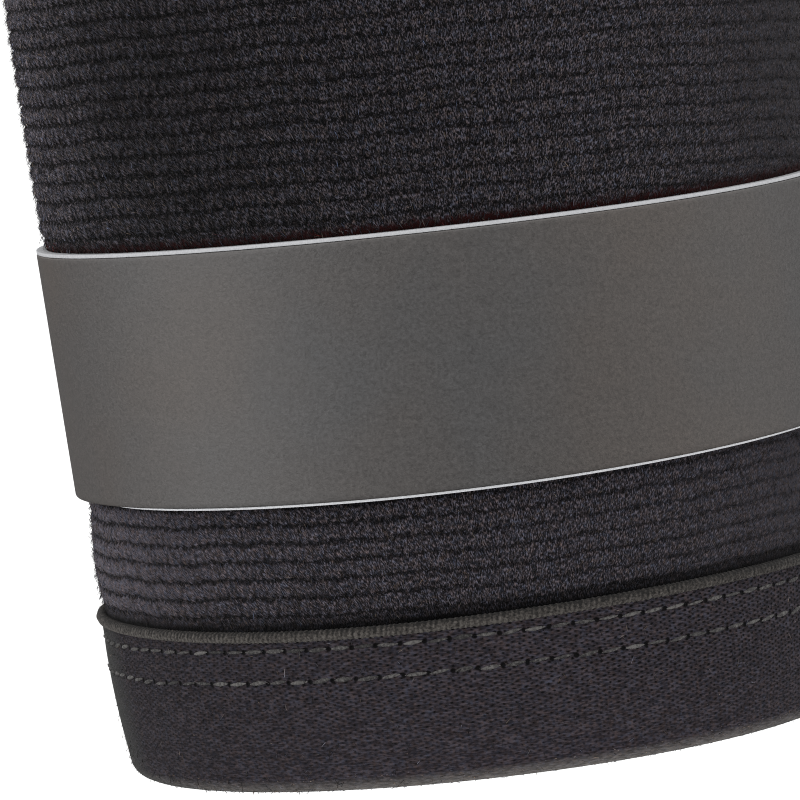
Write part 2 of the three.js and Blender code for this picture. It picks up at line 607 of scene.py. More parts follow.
def fade_at(angle, height):
    """Painted light and shade on the cloth: paler and darker places, and painted shade beside the cords."""
    from_lower = height - RIBS_FROM - edge_wave("lower", angle)
    from_upper = RIBS_TO + edge_wave("upper", angle) - height
    beside_cord = np.clip(np.minimum(from_lower, from_upper) / CORD_SHADE, 0.1, 1) ** 1.5
    return (1 + patches(PAINTED_LIGHT_PLACES, angle, height)) * beside_cord


def above_line(angle, level):
    """Millimetres above the pale line along the band's upper edge."""
    return level - BAND_HIGH - BACKING_LINE - edge_wave("band top", angle)


print("faded places:", len(PAINTED_LIGHT_PLACES), "matted places:", len(MATTED))

# %% Knit tube
RIB_ROWS = [0.0, 0.16, 0.5, 0.84]  # rows of vertices in each rib
KNIT_COLUMNS = 216
LINING_ROWS = 26


def rib_heights():
    places, counts = np.array(RIB_COUNTS).T
    heights = [RIBS_FROM]
    for rib in range(1, math.floor(counts[-1]) + 1):
        start = float(np.interp(rib, counts, places))
        covered = BAND_LOW + 4 < start < BAND_HIGH - 8
        shares = RIB_ROWS[:1] if covered else RIB_ROWS
        heights += [float(np.interp(rib + share, counts, places)) for share in shares]
    return [h for h in heights if h < RIBS_TO] + [RIBS_TO]


def covered_rows(hem):
    fold, inward, *_ = HEMS[hem]
    outside = hem_curve(hem)
    rows = [(float(outside(d)) - TAPE - 0.3, fold + inward * d) for d in (2.7, 8.0, 16.0, 22.0)]
    return rows if inward > 0 else rows[::-1]


def make_knit_tube():
    lower, upper = covered_rows("lower"), covered_rows("upper")
    ribs = [(float(tube_radius(h)), h) for h in rib_heights()]
    inside = [(float(tube_radius(h)) - WALL, h) for h in np.linspace(RIBS_FROM, RIBS_TO, LINING_ROWS)]
    lining = [(r - WALL, h) for r, h in lower] + inside + [(r - WALL, h) for r, h in upper]
    piece = spin_ring("knit_tube", lower + ribs + upper + lining[::-1], KNIT_COLUMNS)
    places = positions(piece.data)
    height = height_of(places)
    radius = np.hypot(places[:, 0], places[:, 1]) / MM
    angle = around_angle(places)
    ribbed = (height > RIBS_FROM - 0.1) & (height < RIBS_TO + 0.1)
    outside = ribbed & (radius > tube_radius(height) - 0.5 * WALL)
    level = np.where(outside, height + rib_shift(angle, height), height)
    new_radius = np.where(outside, knit_surface(angle, height, level), radius)
    places[:, 0] *= new_radius / radius
    places[:, 1] *= new_radius / radius
    places[:, 2] = frame_z(level)
    move_to(piece.data, places)
    # fade holds painted light and shade, which the knit's finish multiplies into its colour.
    mark(piece.data, rib=rib_count(height), fade=fade_at(angle, level), above=above_line(angle, level))
    mark(piece.data, comb=np.tan(comb_lean(angle)), ordered=ordered(angle))
    mark(piece.data, matted=patches(MATTED, angle, level))
    return piece


knit_tube = make_knit_tube()
print("knit tube:", len(knit_tube.data.polygons), "faces")

# %% [markdown]
# ## Knit finish
# Seen close, the knit is dark yarn with paler fibre ends. The streaks draw the ends, and they lean with the
# comb because their map is slid sideways inside each rib. The valleys are broken dark lines of painted shade,
# and each wale, a column of stitches, lets the valley droop a little and is painted darker between wales than
# on its middle, as painted shade, so that the ribs look toothed. Just above the band lies a thin reddish
# stain.

# %% Wales, valleys and stain
KNIT_ROUND = 370.0
WALES = 216.0
WALE_MEAN = 0.6
RIB_START = 0.37  # makes the wales of each rib start at another place
STAIN = (0.020, 0.0026, 0.0026)
STAIN_RISE = 1.0  # above the band's pale line
UNDER_BAND = -4.0


def knit_wales(tree, turn, rib, stray):
    """From 0 between two wales of a rib to 1 on the middle of one."""
    row = maths(tree, "FLOOR", rib)
    start = maths(tree, "MULTIPLY", maths(tree, "MULTIPLY", row, row), RIB_START)
    wale = maths(tree, "MULTIPLY_ADD", turn, WALES, start)
    wale = maths(tree, "MULTIPLY_ADD", stray, 0.9, wale)
    return maths(tree, "ABSOLUTE", maths(tree, "SINE", maths(tree, "MULTIPLY", wale, math.pi)))


def knit_valleys(tree, rib, tuft, neat, clear):
    """Painted shade: dark lines between the ribs, broken by tufts and deepest where the nap is combed."""
    broken = maths(tree, "MULTIPLY_ADD", tuft, 3.2, maths(tree, "MULTIPLY", neat, 0.7))
    broken = maths(tree, "SUBTRACT", broken, 0.9, clamp=True)
    line = maths(tree, "POWER", from_middle(tree, rib), 7.0)
    strong = maths(tree, "MULTIPLY", maths(tree, "ADD", neat, 1.0), clear)
    return maths(tree, "MULTIPLY", maths(tree, "MULTIPLY", line, broken, clamp=True), strong)


def stain_share(tree, stray):
    above = attribute(tree, "above")
    edge = maths(tree, "MULTIPLY_ADD", stray, 3.0, maths(tree, "SUBTRACT", above, STAIN_RISE))
    stain = maths(tree, "SUBTRACT", 0.5, edge, clamp=True)
    return maths(tree, "MULTIPLY", stain, maths(tree, "GREATER_THAN", above, UNDER_BAND))


# %% Knit finish
COMB_SLIDE = -2.8  # millimetres of slide over one rib
KNIT_TONES = [
    (0.40, (0.0020, 0.0017, 0.0021)),
    (0.52, (0.0145, 0.0126, 0.0152)),
    (0.66, (0.10, 0.089, 0.106)),
]


def knit_finish():
    material, tree, shader = principled(
        "napped knit", Roughness=0.95, Specular_IOR_Level=0.1, Sheen_Weight=0.03, Sheen_Roughness=0.5
    )
    cloth, rib, neat = cloth_map(tree), attribute(tree, "rib"), attribute(tree, "ordered")
    crisp = maths(tree, "SUBTRACT", 1.0, attribute(tree, "matted"))
    clear = maths(tree, "MULTIPLY_ADD", crisp, 0.75, 0.25)
    in_rib = maths(tree, "MULTIPLY", maths(tree, "FRACT", rib), COMB_SLIDE)
    comb = maths(tree, "MULTIPLY", in_rib, attribute(tree, "comb"))
    marks = placed(tree, streaks, Cloth=cloth, Round=KNIT_ROUND, Comb=comb)
    stray = maths(tree, "SUBTRACT", marks["Stray"], 0.5)
    rib = maths(tree, "MULTIPLY_ADD", stray, 0.75, rib)
    wale = knit_wales(tree, axes(tree, cloth)["X"], rib, stray)
    raised = maths(tree, "SUBTRACT", wale, WALE_MEAN)
    toothed = maths(tree, "MULTIPLY", maths(tree, "MULTIPLY_ADD", neat, 0.1, 0.14), clear)
    drooping = maths(tree, "MULTIPLY_ADD", raised, toothed, rib)
    valley = knit_valleys(tree, drooping, marks["Tuft"], neat, clear)
    light = maths(tree, "MULTIPLY_ADD", marks["Fine"], 0.88, maths(tree, "MULTIPLY", marks["Tuft"], 0.12))
    tone = maths(tree, "MULTIPLY", maths(tree, "SUBTRACT", light, 0.5), 1.1)
    # Painted shade: the tone is darker between two wales than on a wale's middle.
    tone = maths(tree, "MULTIPLY_ADD", raised, maths(tree, "MULTIPLY", toothed, 0.4), tone)
    tone = maths(tree, "MULTIPLY_ADD", tone, crisp, 0.53)
    # Painted shade: the valleys are darker.
    tone = maths(tree, "MULTIPLY_ADD", valley, -0.2, tone)
    colour = flecked(tree, ramp(tree, tone, KNIT_TONES))
    # Painted light and shade: the colour is scaled by the fade mark.
    colour = scaled(tree, colour, attribute(tree, "fade"))
    tree.links.new(mixed(tree, stain_share(tree, stray), colour, STAIN), shader.inputs["Base Color"])
    height = maths(tree, "MULTIPLY", maths(tree, "MULTIPLY_ADD", wale, 0.06, light), crisp)
    bumped(tree, shader, maths(tree, "MULTIPLY_ADD", valley, -0.4, height), 0.0006)
    return material


knit_tube.data.materials.append(knit_finish())
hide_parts("ribbed_tube")
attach(knit_tube, "root")
print("finish:", knit_tube.data.materials[0].name)

# %% [markdown]
# ## Nap
# The knit is brushed, so short fibres stand on its ribs. They are combed down the leg, best on one side, and
# they are fewer in a valley, darker there with painted shade, and evener where the nap is matted. Hair curves
# would be the usual way, but a mesh stays as it is in any other program. So each fibre is a thin closed blade
# with a twist and a shade of its own. A hundred thousand of them are far too many for an operator each, so
# they are written as arrays, in a few pieces.

# %% Directions on the tube
def outward(angle):
    return np.stack([-np.sin(angle), np.cos(angle), np.zeros_like(angle)], axis=1)


def sideways(angle):
    return np.stack([-np.cos(angle), -np.sin(angle), np.zeros_like(angle)], axis=1)


# %% Fibres
BLADE = np.array([(0, 1, 2), (0, 2, 3), (0, 3, 1), (1, 3, 2)])  # four triangles over four corners
BLADE_MAP = np.array([(0.3, 0.3), (0.7, 0.3), (0.5, 0.7), (0.5, 0.5)])
ROOT_TO_TIP = np.array([0.7, 0.7, 1.2, 1.2])  # brightness of the corners


def fibre_colours(shade, warmth):
    """Colour of each fibre from its shade from 0 to 1, turned a little brown or blue by its warmth."""
    bright = np.interp(shade, [0.0, 0.3, 0.6, 1.0], [0.003, 0.022, 0.11, 0.36])
    tint = np.array([1.0, 0.92, 1.05]) + warmth[:, None] * np.array([0.26, 0.04, -0.34])
    return bright[:, None] * tint


def blade_corners(roots, along, width):
    side = np.cross(along, roots * (1, 1, 0))
    side /= np.linalg.norm(side, axis=1, keepdims=True)
    up = np.cross(side, along)
    up /= np.linalg.norm(up, axis=1, keepdims=True)
    half = width[:, None] / 2
    tip = half * (0.5 * side + 0.7 * up)
    corners = [roots - half * side, roots + half * side, roots + along + tip, roots + along - tip]
    return np.stack(corners, axis=1).reshape(-1, 3)


def make_fibres(name, roots, along, width, colours):
    """One mesh of thin twisted blades of four triangles: roots and along are rows in metres."""
    count = len(roots)
    faces = (np.arange(count)[:, None, None] * 4 + BLADE).reshape(-1)
    mesh = bpy.data.meshes.new(name)
    mesh.vertices.add(count * 4)
    mesh.vertices.foreach_set("co", blade_corners(roots, along, width).astype(np.float32).ravel())
    mesh.loops.add(count * 12)
    mesh.loops.foreach_set("vertex_index", faces.astype(np.int32))
    mesh.polygons.add(count * 4)
    mesh.polygons.foreach_set("loop_start", np.arange(count * 4, dtype=np.int32) * 3)
    mesh.update(calc_edges=True)
    rows = np.ones((count, 4, 4))
    rows[..., :3] = colours[:, None, :] * ROOT_TO_TIP[None, :, None]
    tone = mesh.attributes.new("fibre", "FLOAT_COLOR", "POINT")
    tone.data.foreach_set("color", rows.astype(np.float32).ravel())
    cells = math.ceil(math.sqrt(count))
    cell = np.stack([np.arange(count) % cells, np.arange(count) // cells], axis=1)
    uv = (cell[:, None, :] + BLADE_MAP[BLADE.ravel()][None]) / cells
    mesh.uv_layers.new(name="OFBake").uv.foreach_set("vector", uv.astype(np.float32).ravel())
    return add_piece(mesh)


# %% Tufts, teeth and combing
CLUMP = 1.4  # millimetres from tuft to tuft


def clump_at(rng, angle, height):
    """Smooth chance from 0 to 1 over the cloth, for tufts and thin places."""
    columns = round(KNIT_ROUND / CLUMP)
    rows = int(np.ptp(height) / CLUMP) + 3
    grid = rng.uniform(0, 1, (rows, columns))
    x = angle / math.tau * columns
    y = (height - height.min()) / CLUMP
    i, j = x.astype(int), y.astype(int)
    u, v = x - i, y - j
    left, right = i % columns, (i + 1) % columns
    low = grid[j, left] * (1 - u) + grid[j, right] * u
    high = grid[j + 1, left] * (1 - u) + grid[j + 1, right] * u
    return low * (1 - v) + high * v


def tooth_at(angle, rib):
    """From 0 between two wales of a rib to 1 on the middle of one."""
    return np.abs(np.sin(WALES * angle / 2 + math.pi * RIB_START * np.floor(rib) ** 2))


def comb_fibres(rng, angle):
    """Direction and length of each fibre, mostly down the leg along the comb, best ordered on one side."""
    count = len(angle)
    lean = rng.normal(comb_lean(angle), 0.5 - 0.3 * ordered(angle))[:, None]
    way = np.where(rng.uniform(0, 1, count) < 0.7, -1.0, 1.0)[:, None]
    lift = np.abs(rng.normal(0.22, 0.12, count))[:, None]
    along = way * sideways(angle) * np.sin(lean) + outward(angle) * lift
    along[:, 2:] += way * np.cos(lean)
    length = rng.uniform(0.55, 1.25, count) * (1 + 0.4 * ordered(angle)) * MM
    return along * (length / np.linalg.norm(along, axis=1))[:, None]


# %% Shades of the nap
def nap_shades(rng, clump, tooth, valley, neat, matted):
    shade = rng.beta(0.8, 2.0, len(clump))
    shade += (0.34 - shade) * matted
    # Painted shade: a fibre between two wales is a little darker, and one in a valley much darker.
    shade *= 0.8 + (0.35 * (clump - 0.5) + 0.15 * neat * (tooth - WALE_MEAN)) * (1 - matted)
    return shade * (1 - (0.35 + 0.4 * neat) * valley)


def stained(rng, colours, above):
    """Colours of the fibres, some of them reddened just above the band."""
    share = 0.55 * np.clip(2 * STAIN_RISE - above, 0, 1) * (above > UNDER_BAND)
    reddish = (rng.uniform(0, 1, len(above)) < share)[:, None]
    return np.where(reddish, 0.55 * colours * (1.2, 0.2, 0.2), colours)


def nap_finish():
    material, tree, shader = principled("nap fibre", Roughness=0.6, Specular_IOR_Level=0.3)
    tree.links.new(flecked(tree, attribute(tree, "fibre", "Color")), shader.inputs["Base Color"])
    return material


# %% Nap
NAP_ZONES = [  # name, from, to, fibres per square millimetre, seed
    ("nap_calf", 25.2, 43.0, 5.6, 11),
    ("nap_shin", 79.4, 115.0, 5.6, 12),
    ("nap_knee", 115.0, 150.0, 2.4, 13),
    ("nap_mid", 150.0, 205.0, 2.1, 14),
    ("nap_thigh", 205.0, 264.6, 2.0, 15),
]
BARE_BY_CORD = 0.9  # millimetres above the lower cord


def make_nap(name, low, high, per_mm2, seed):
    rng = np.random.default_rng(seed)
    area = math.tau * float(tube_radius((low + high) / 2)) * (high - low)
    count = int(area * per_mm2)
    angle = rng.uniform(0, math.tau, count)
    level = rng.uniform(low, high, count)
    along = comb_fibres(rng, angle)
    clump = clump_at(rng, angle, level)
    height = level - rib_shift(angle, level)
    tooth = tooth_at(angle + 0.012 * (clump - 0.5), rib_count(height + 0.7 * (clump - 0.5)))
    neat, matted = ordered(angle), patches(MATTED, angle, level)
    uneven = 0.7 * (clump - 0.5) + (0.45 + 0.3 * neat) * (tooth - WALE_MEAN)
    ends = [height + uneven + part * along[:, 2] / MM for part in (0.0, 0.5, 1.0)]
    valley = np.max([valley_share(rib_count(end), 7) for end in ends], axis=0) * (1 - 0.65 * matted)
    share = (1 - 0.35 * np.cos(angle)) / 1.35
    share *= (1 - (0.5 + 0.45 * neat) * valley) * (1 - 0.45 * neat * (1 - tooth)) * (1 - 0.8 * matted)
    keep = rng.uniform(0, 1, count) < share
    keep &= level > RIBS_FROM + edge_wave("lower", angle) + BARE_BY_CORD
    angle, level, height, along, clump, tooth, valley, neat, matted = (
        rows[keep] for rows in (angle, level, height, along, clump, tooth, valley, neat, matted)
    )
    count = len(angle)
    roots = outward(angle) * ((knit_surface(angle, height, level) - 0.05) * MM)[:, None]
    roots[:, 2] = frame_z(level)
    width = rng.uniform(0.08, 0.125, count) * MM
    shade = nap_shades(rng, clump, tooth, valley, neat, matted)
    # Painted light and shade on each fibre, from the same places as the knit.
    colours = fibre_colours(shade, rng.uniform(-1, 1, count)) * fade_at(angle, level)[:, None]
    return make_fibres(name, roots, along, width, stained(rng, colours, above_line(angle, level)))


nap_material = nap_finish()
for name, low, high, per_mm2, seed in NAP_ZONES:
    nap = make_nap(name, low, high, per_mm2, seed)
    nap.data.materials.append(nap_material)
    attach(nap, "root")
    print(name, len(nap.data.polygons), "triangles")

# %% [markdown]
# ## Hem tapes
# A woven elastic tape is folded over each cut end of the tube. Its section is a long U: up the inside, round
# the fold and up the outside. A Solidify modifier on a sheet could give the thickness, but here it is worked
# into the outline, so that one spin makes a closed ring. The two rows of stitches pull the tape in by a tenth
# of a millimetre.

# %% Section of a tape
STITCH_ROWS = (16.45, 21.05)  # depth from the fold
STITCH_PULL = 0.14
INSIDE_DEPTH = 19.0
TAPE_TOP = 23.6
TAPE_COLUMNS = 180


def thick_line(line, thickness):
    line = np.array(line, dtype=float)
    along = np.gradient(line, axis=0)
    along /= np.linalg.norm(along, axis=1, keepdims=True)
    across = np.stack([along[:, 1], -along[:, 0]], axis=1) * thickness / 2
    return np.concatenate([line + across, (line - across)[::-1]])


def tape_line(hem):
    outside = hem_curve(hem)
    bend = FOLD_RADIUS - TAPE / 2
    centre = HEMS[hem][2] - FOLD_RADIUS
    inner = [(float(outside(d)) - TAPE / 2 - 2 * bend, d) for d in np.linspace(INSIDE_DEPTH, 4.0, 8)]
    turns = np.linspace(math.pi, math.tau, 11)
    fold = [(centre + bend * math.cos(a), FOLD_RADIUS + bend * math.sin(a)) for a in turns]
    outer = []
    for d in np.linspace(4.0, TAPE_TOP, 34):
        pull = sum(STITCH_PULL * math.exp(-(((d - row) / 0.55) ** 2)) for row in STITCH_ROWS)
        outer.append((float(outside(d)) - TAPE / 2 - pull, float(d)))
    return inner + fold + outer


def at_hem(hem, outline):
    """Outline measured from a fold, set at that end of the support."""
    fold, inward, *_ = HEMS[hem]
    placed_there = [(float(r), fold + inward * float(d)) for r, d in outline]
    return placed_there if inward > 0 else placed_there[::-1]


# %% [markdown]
# ## Tape finish
# The tape is a satin of fine dark yarn, with small dark gaps in slanting rows. Its fold is rubbed pale, and a
# painted sheen makes it pale where it turns edge-on to the eye. Its colour is painted darker towards the
# sides of the leg, as painted light. The needle left a hole at both ends of each stitch. The holes could be
# cut, but at this size a dark spot of painted shade with a dent in the bump is the same to the eye.

# %% Needle holes
STITCHES = 98
FIRST_STITCH = 0.29  # of a stitch, from the back
HOLE_RADIUS = 0.45
HOLE_ROUND = math.tau * 56.0


def needle_holes(tree, cloth):
    """Mask of painted shade in the holes at the ends of the stitches, from the turn and the depth under the
    fold.
    """
    depth = attribute(tree, "depth")
    stitch = maths(tree, "MULTIPLY_ADD", axes(tree, cloth)["X"], float(STITCHES), -FIRST_STITCH)
    across = maths(tree, "SUBTRACT", maths(tree, "FRACT", stitch), 0.5)
    across = maths(tree, "MULTIPLY", across, HOLE_ROUND / STITCHES)
    holes = 0.0
    for row in STITCH_ROWS:
        up = maths(tree, "SUBTRACT", depth, row)
        far = maths(tree, "ADD", maths(tree, "POWER", across, 2.0), maths(tree, "POWER", up, 2.0))
        far = maths(tree, "DIVIDE", maths(tree, "SQRT", far), HOLE_RADIUS)
        holes = maths(tree, "ADD", holes, maths(tree, "SUBTRACT", 1.0, far, clamp=True), clamp=True)
    return holes


# %% Tape finish
RIM_DEPTH = 2.1
RIM_USE = {"lower": 1.0, "upper": 0.3}  # how worn each fold is
RIM_PALE = (0.25, 0.235, 0.215)
PAINTED_EDGE_SHEEN = (0.060, 0.062, 0.058)
TAPE_TONES = [
    (0.45, (0.003, 0.0026, 0.003)),
    (0.78, (0.0205, 0.0170, 0.0209)),
    (1.0, (0.061, 0.052, 0.063)),
]


def tape_finish():
    material, tree, shader = principled(
        "woven tape", Roughness=0.85, Specular_IOR_Level=0.1, Sheen_Weight=0.02, Sheen_Roughness=0.45
    )
    cloth, place, depth = cloth_map(tree), object_place(tree), attribute(tree, "depth")
    weave = placed(tree, satin, Cloth=cloth, Place=place, Floats=212.0, Row=0.35)
    yarn = noise(tree, stretched(tree, place, (800, 800, 4200)), 1.0, 2.0, 0.6)
    strong = maths(tree, "MULTIPLY_ADD", depth, 0.045, 0.35, clamp=True)
    strong = maths(tree, "MULTIPLY", strong, attribute(tree, "clear"))
    gap = maths(tree, "MULTIPLY", maths(tree, "MULTIPLY", weave["Gap"], strong), 0.5)
    tone = maths(tree, "MULTIPLY_ADD", weave["Shade"], 0.08, 0.46)
    tone = maths(tree, "MULTIPLY_ADD", yarn, 0.7, tone)
    tone = maths(tree, "SUBTRACT", tone, gap)
    # Painted shade: the needle holes are darker.
    tone = maths(tree, "SUBTRACT", tone, needle_holes(tree, cloth))
    worn = maths(tree, "DIVIDE", maths(tree, "SUBTRACT", RIM_DEPTH, depth), RIM_DEPTH, clamp=True)
    worn = maths(tree, "MULTIPLY", maths(tree, "MULTIPLY", worn, yarn), attribute(tree, "use"))
    colour = mixed(tree, worn, flecked(tree, ramp(tree, tone, TAPE_TONES)), RIM_PALE)
    # Painted sheen: the colour turns pale where the tape is seen edge-on.
    facing = tree.nodes.new("ShaderNodeLayerWeight").outputs["Facing"]
    edge_on = maths(tree, "MULTIPLY_ADD", facing, 4.0, -2.8, clamp=True)
    # Painted light: fade darkens the tape towards the sides.
    colour = scaled(tree, mixed(tree, edge_on, colour, PAINTED_EDGE_SHEEN), attribute(tree, "fade"))
    tree.links.new(colour, shader.inputs["Base Color"])
    bumped(tree, shader, tone, 0.0003)
    return material


# %% Hem tapes
def make_tape(hem):
    tape = spin_ring(f"{hem}_tape", at_hem(hem, thick_line(tape_line(hem), TAPE)), TAPE_COLUMNS)
    places = positions(tape.data)
    depth = np.abs(height_of(places) - HEMS[hem][0])
    aside = np.sin(around_angle(places))
    mark(tape.data, depth=depth, use=np.full(len(depth), RIM_USE[hem]))
    # Painted light: fade paints the tape darker towards both sides of the leg, most towards -X.
    mark(tape.data, fade=1.0 - 0.09 * aside - 0.24 * aside**2, clear=1.0 - 0.35 * aside)
    return tape


tape_material = tape_finish()
for hem in HEMS:
    tape = make_tape(hem)
    tape.data.materials.append(tape_material)
    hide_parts(f"{hem}_hem_tape")
    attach(tape, "root")
    print(tape.name, len(tape.data.polygons), "faces")

# %% [markdown]
# ## Corded edge
# The tape's open edge is wound with thread, so it looks like a thin cord with slanting ridges every 0.8 mm. A
# twisted bundle of strands could be modelled, but the ridges are so small that one ring will do: a small
# circle is turned round the leg in many steps, and its surface is pushed in and out along the slant. Its
# colour follows the ridges, is duller on the side where the thread is worn flat, and is painted darker on
# the half that faces the knit, as painted shade.

# %% Corded edges
CORD_RADIUS = 0.82
CORD_SIDES = 8
CORD_STEPS = 110
CORD_CUTS = 19  # new columns between two steps, so that a ridge has five columns
RIDGES = 440
RIDGE_HEIGHT = 0.07  # of the cord's radius


def make_cord(hem):
    fold, inward, *_, edge = HEMS[hem]
    centre = (edge - 0.15, HEM_DEPTH - CORD_RADIUS - 0.2)
    around = np.linspace(0, math.tau, CORD_SIDES, endpoint=False)
    outline = [(centre[0] + CORD_RADIUS * math.cos(a), centre[1] + CORD_RADIUS * math.sin(a)) for a in around]
    cord = spin_ring(f"{hem}_cord", at_hem(hem, outline), CORD_STEPS, cuts=CORD_CUTS)
    places = positions(cord.data)
    angle = around_angle(places)
    middle = outward(angle) * (centre[0] * MM)
    middle[:, 2] = frame_z(fold + inward * centre[1])
    out = places - middle
    out *= CORD_RADIUS * MM / np.linalg.norm(out, axis=1, keepdims=True)
    slant = out[:, 2] / (CORD_RADIUS * MM)
    wind = np.cos(RIDGES * angle - 1.2 * slant + 0.7 * np.sin(41 * angle) + 0.5 * np.sin(97 * angle))
    places = middle + out * (1 + RIDGE_HEIGHT * wind)[:, None]
    places[:, 2] += edge_wave(hem, angle) * MM
    move_to(cord.data, places)
    flat = np.clip(-np.sin(angle), 0, 1)
    # Painted shade: the half of the cord that faces the knit is darker.
    mark(cord.data, ridge=0.5 + 0.5 * wind * (1 - 0.5 * flat) - 1.1 * inward * slant - 0.6 * flat)
    return cord


# %% Thread finish
def thread_finish(name, tones, ridged=0.0, uneven=0.0):
    """Matt spun thread: lighter ridges and painted shade on a cord, or uneven tone and painted light on
    stitches.
    """
    material, tree, shader = principled(name, Roughness=0.75, Specular_IOR_Level=0.25, Sheen_Weight=0.05)
    tone = noise(tree, object_place(tree), 2600.0, 2.0, 0.6)
    if ridged:
        ridge = maths(tree, "SUBTRACT", attribute(tree, "ridge"), 0.6)
        tone = maths(tree, "MULTIPLY_ADD", ridge, ridged, tone)
    if uneven:
        tone = maths(tree, "MULTIPLY_ADD", attribute(tree, "tone"), uneven, tone)
    colour = ramp(tree, tone, list(zip((0.3, 0.5, 0.7), tones)))
    tree.links.new(colour, shader.inputs["Base Color"])
    bumped(tree, shader, tone, 0.0001)
    return material


CORD_TONES = [(0.008, 0.0070, 0.0062), (0.040, 0.0350, 0.0315), (0.088, 0.080, 0.072)]
cord_material = thread_finish("wound edge thread", CORD_TONES, ridged=0.16)
for hem in HEMS:
    cord = make_cord(hem)
    cord.data.materials.append(cord_material)
    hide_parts(f"{hem}_edge_cord")
    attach(cord, "root")
    print(cord.name, len(cord.data.polygons), "faces")

# %% [markdown]
# ## Stitches
# Two rows of grey lockstitch hold each hem. A stitch is a short soft thread whose ends dive into the tape. A
# curve with a bevel could be it, but a ball that is drawn out to a spindle has fewer faces. It is made once,
# and then copied round the leg with small chances in its length, thickness and tilt.

# %% One stitch
def stitch_template():
    """One stitch along X, 1 long, as vertex rows and faces: a ball drawn out to a soft spindle."""
    bm = bmesh.new()
    bmesh.ops.create_uvsphere(bm, u_segments=8, v_segments=6, radius=0.5)
    bmesh.ops.rotate(bm, verts=bm.verts, cent=(0, 0, 0), matrix=Matrix.Rotation(math.pi / 2, 3, "Y"))
    for vert in bm.verts:
        bow = 1 - (2 * vert.co.x) ** 2
        vert.co.z *= 0.5 + 0.5 * bow
        vert.co.y = vert.co.y * (0.4 + 0.6 * bow) - 0.35 * bow
    bmesh.ops.triangulate(bm, faces=bm.faces)
    bm.verts.index_update()
    shape = np.array([v.co for v in bm.verts])
    faces = np.array([[v.index for v in f.verts] for f in bm.faces])
    bm.free()
    return shape, faces


def turned(places, angle):
    """Rows turned about Z, each by its own angle."""
    x, y, z = np.moveaxis(places, -1, 0)
    return np.stack([x * np.cos(angle) - y * np.sin(angle), x * np.sin(angle) + y * np.cos(angle), z], -1)


# %% Stitches
STITCH_SHARE = 0.94  # of the way from hole to hole
STITCH_THICK = 0.48
STITCH_TALL = 0.62
STITCH_TONES = [(0.020, 0.019, 0.019), (0.054, 0.051, 0.050), (0.115, 0.110, 0.106)]


def make_stitches(hem, seed):
    rng = np.random.default_rng(seed)
    fold, inward, *_ = HEMS[hem]
    outside = hem_curve(hem)
    shape, faces = stitch_template()
    rows, sides = [], []
    for row in STITCH_ROWS:
        radius = float(outside(row))
        pitch = math.tau * radius / STITCHES
        long = pitch * STITCH_SHARE * rng.uniform(0.88, 1.03, STITCHES)
        thick = STITCH_THICK * rng.uniform(0.8, 1.1, STITCHES)
        tall = STITCH_TALL * rng.uniform(0.75, 1.15, STITCHES)
        made = shape[None] * np.stack([long, thick, tall], axis=1)[:, None]
        tilt = rng.normal(0.09, 0.05, STITCHES)[:, None]
        made[..., 2] += made[..., 0] * tilt
        made[..., 2] += fold + inward * row - LENGTH / 2 + rng.normal(0, 0.06, STITCHES)[:, None]
        made[..., 1] -= radius - 0.2
        turn = (np.arange(STITCHES) + FIRST_STITCH + rng.normal(0, 0.03, STITCHES)) * math.tau / STITCHES
        rows.append(turned(made, turn[:, None] + math.pi))
        sides.append(np.sin(turn))
    verts = np.concatenate(rows).reshape(-1, 3) * MM
    copies = 2 * STITCHES
    all_faces = (faces[None] + np.arange(copies)[:, None, None] * len(shape)).reshape(-1, 3)
    mesh = bpy.data.meshes.new(f"{hem}_stitches")
    mesh.from_pydata(verts, [], all_faces)
    mesh.shade_smooth()
    # Painted light: the stitches are painted paler towards +X and darker towards -X.
    tones = rng.normal(0, 0.07, copies) - 0.05 * np.concatenate(sides)
    mark(mesh, tone=np.repeat(tones, len(shape)))
    return add_piece(mesh)


stitch_material = thread_finish("grey stitch thread", STITCH_TONES, uneven=1.0)
for hem, seed in (("lower", 31), ("upper", 32)):
    stitches = make_stitches(hem, seed)
    stitches.data.materials.append(stitch_material)
    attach(stitches, "root")
    print(stitches.name, len(stitches.data.polygons), "faces")

# %% [markdown]
# ## Loose fibres on the tape
# Worn tape has a few hairs that lie on it in any direction, and many short ones along the rubbed fold. They
# are the same thin blades as the nap, so the same function makes them.

# %% Roots of the loose fibres
FUZZ = 1500
RIM_FUZZ = 4500


def lying_fibres(rng, hem):
    """Roots and directions of the hairs that lie on the outside of a tape."""
    fold, inward, *_ = HEMS[hem]
    outside = hem_curve(hem)
    angle = rng.uniform(0, math.tau, FUZZ)
    depth = 1.2 + (TAPE_TOP - 1.6) * rng.uniform(0, 1, FUZZ) ** 1.3
    out, aside = outward(angle), sideways(angle)
    roots = out * ((outside(depth) - 0.06) * MM)[:, None]
    roots[:, 2] = frame_z(fold + inward * depth)
    lean = rng.uniform(0, math.tau, FUZZ)[:, None]
    along = aside * np.sin(lean) + out * np.abs(rng.normal(0.2, 0.1, FUZZ))[:, None]
    along[:, 2:] += np.cos(lean)
    return roots, along


def rim_fibres(rng, hem):
    """Roots and directions of the short hairs that lie along the worn fold."""
    fold, inward, radius, *_ = HEMS[hem]
    angle = rng.uniform(0, math.tau, RIM_FUZZ)
    bend = rng.uniform(-1.6, 0.1, RIM_FUZZ)
    out, aside = outward(angle), sideways(angle)
    away = out * np.cos(bend)[:, None]
    away[:, 2] = inward * np.sin(bend)
    roots = out * (radius - FOLD_RADIUS) * MM + away * (FOLD_RADIUS - 0.04) * MM
    roots[:, 2] += frame_z(fold + inward * FOLD_RADIUS)
    along = away * rng.uniform(-0.1, 0.05, RIM_FUZZ)[:, None] + aside * rng.normal(0, 0.6, RIM_FUZZ)[:, None]
    along[:, 2] += rng.normal(0, 0.08, RIM_FUZZ)
    return roots, along


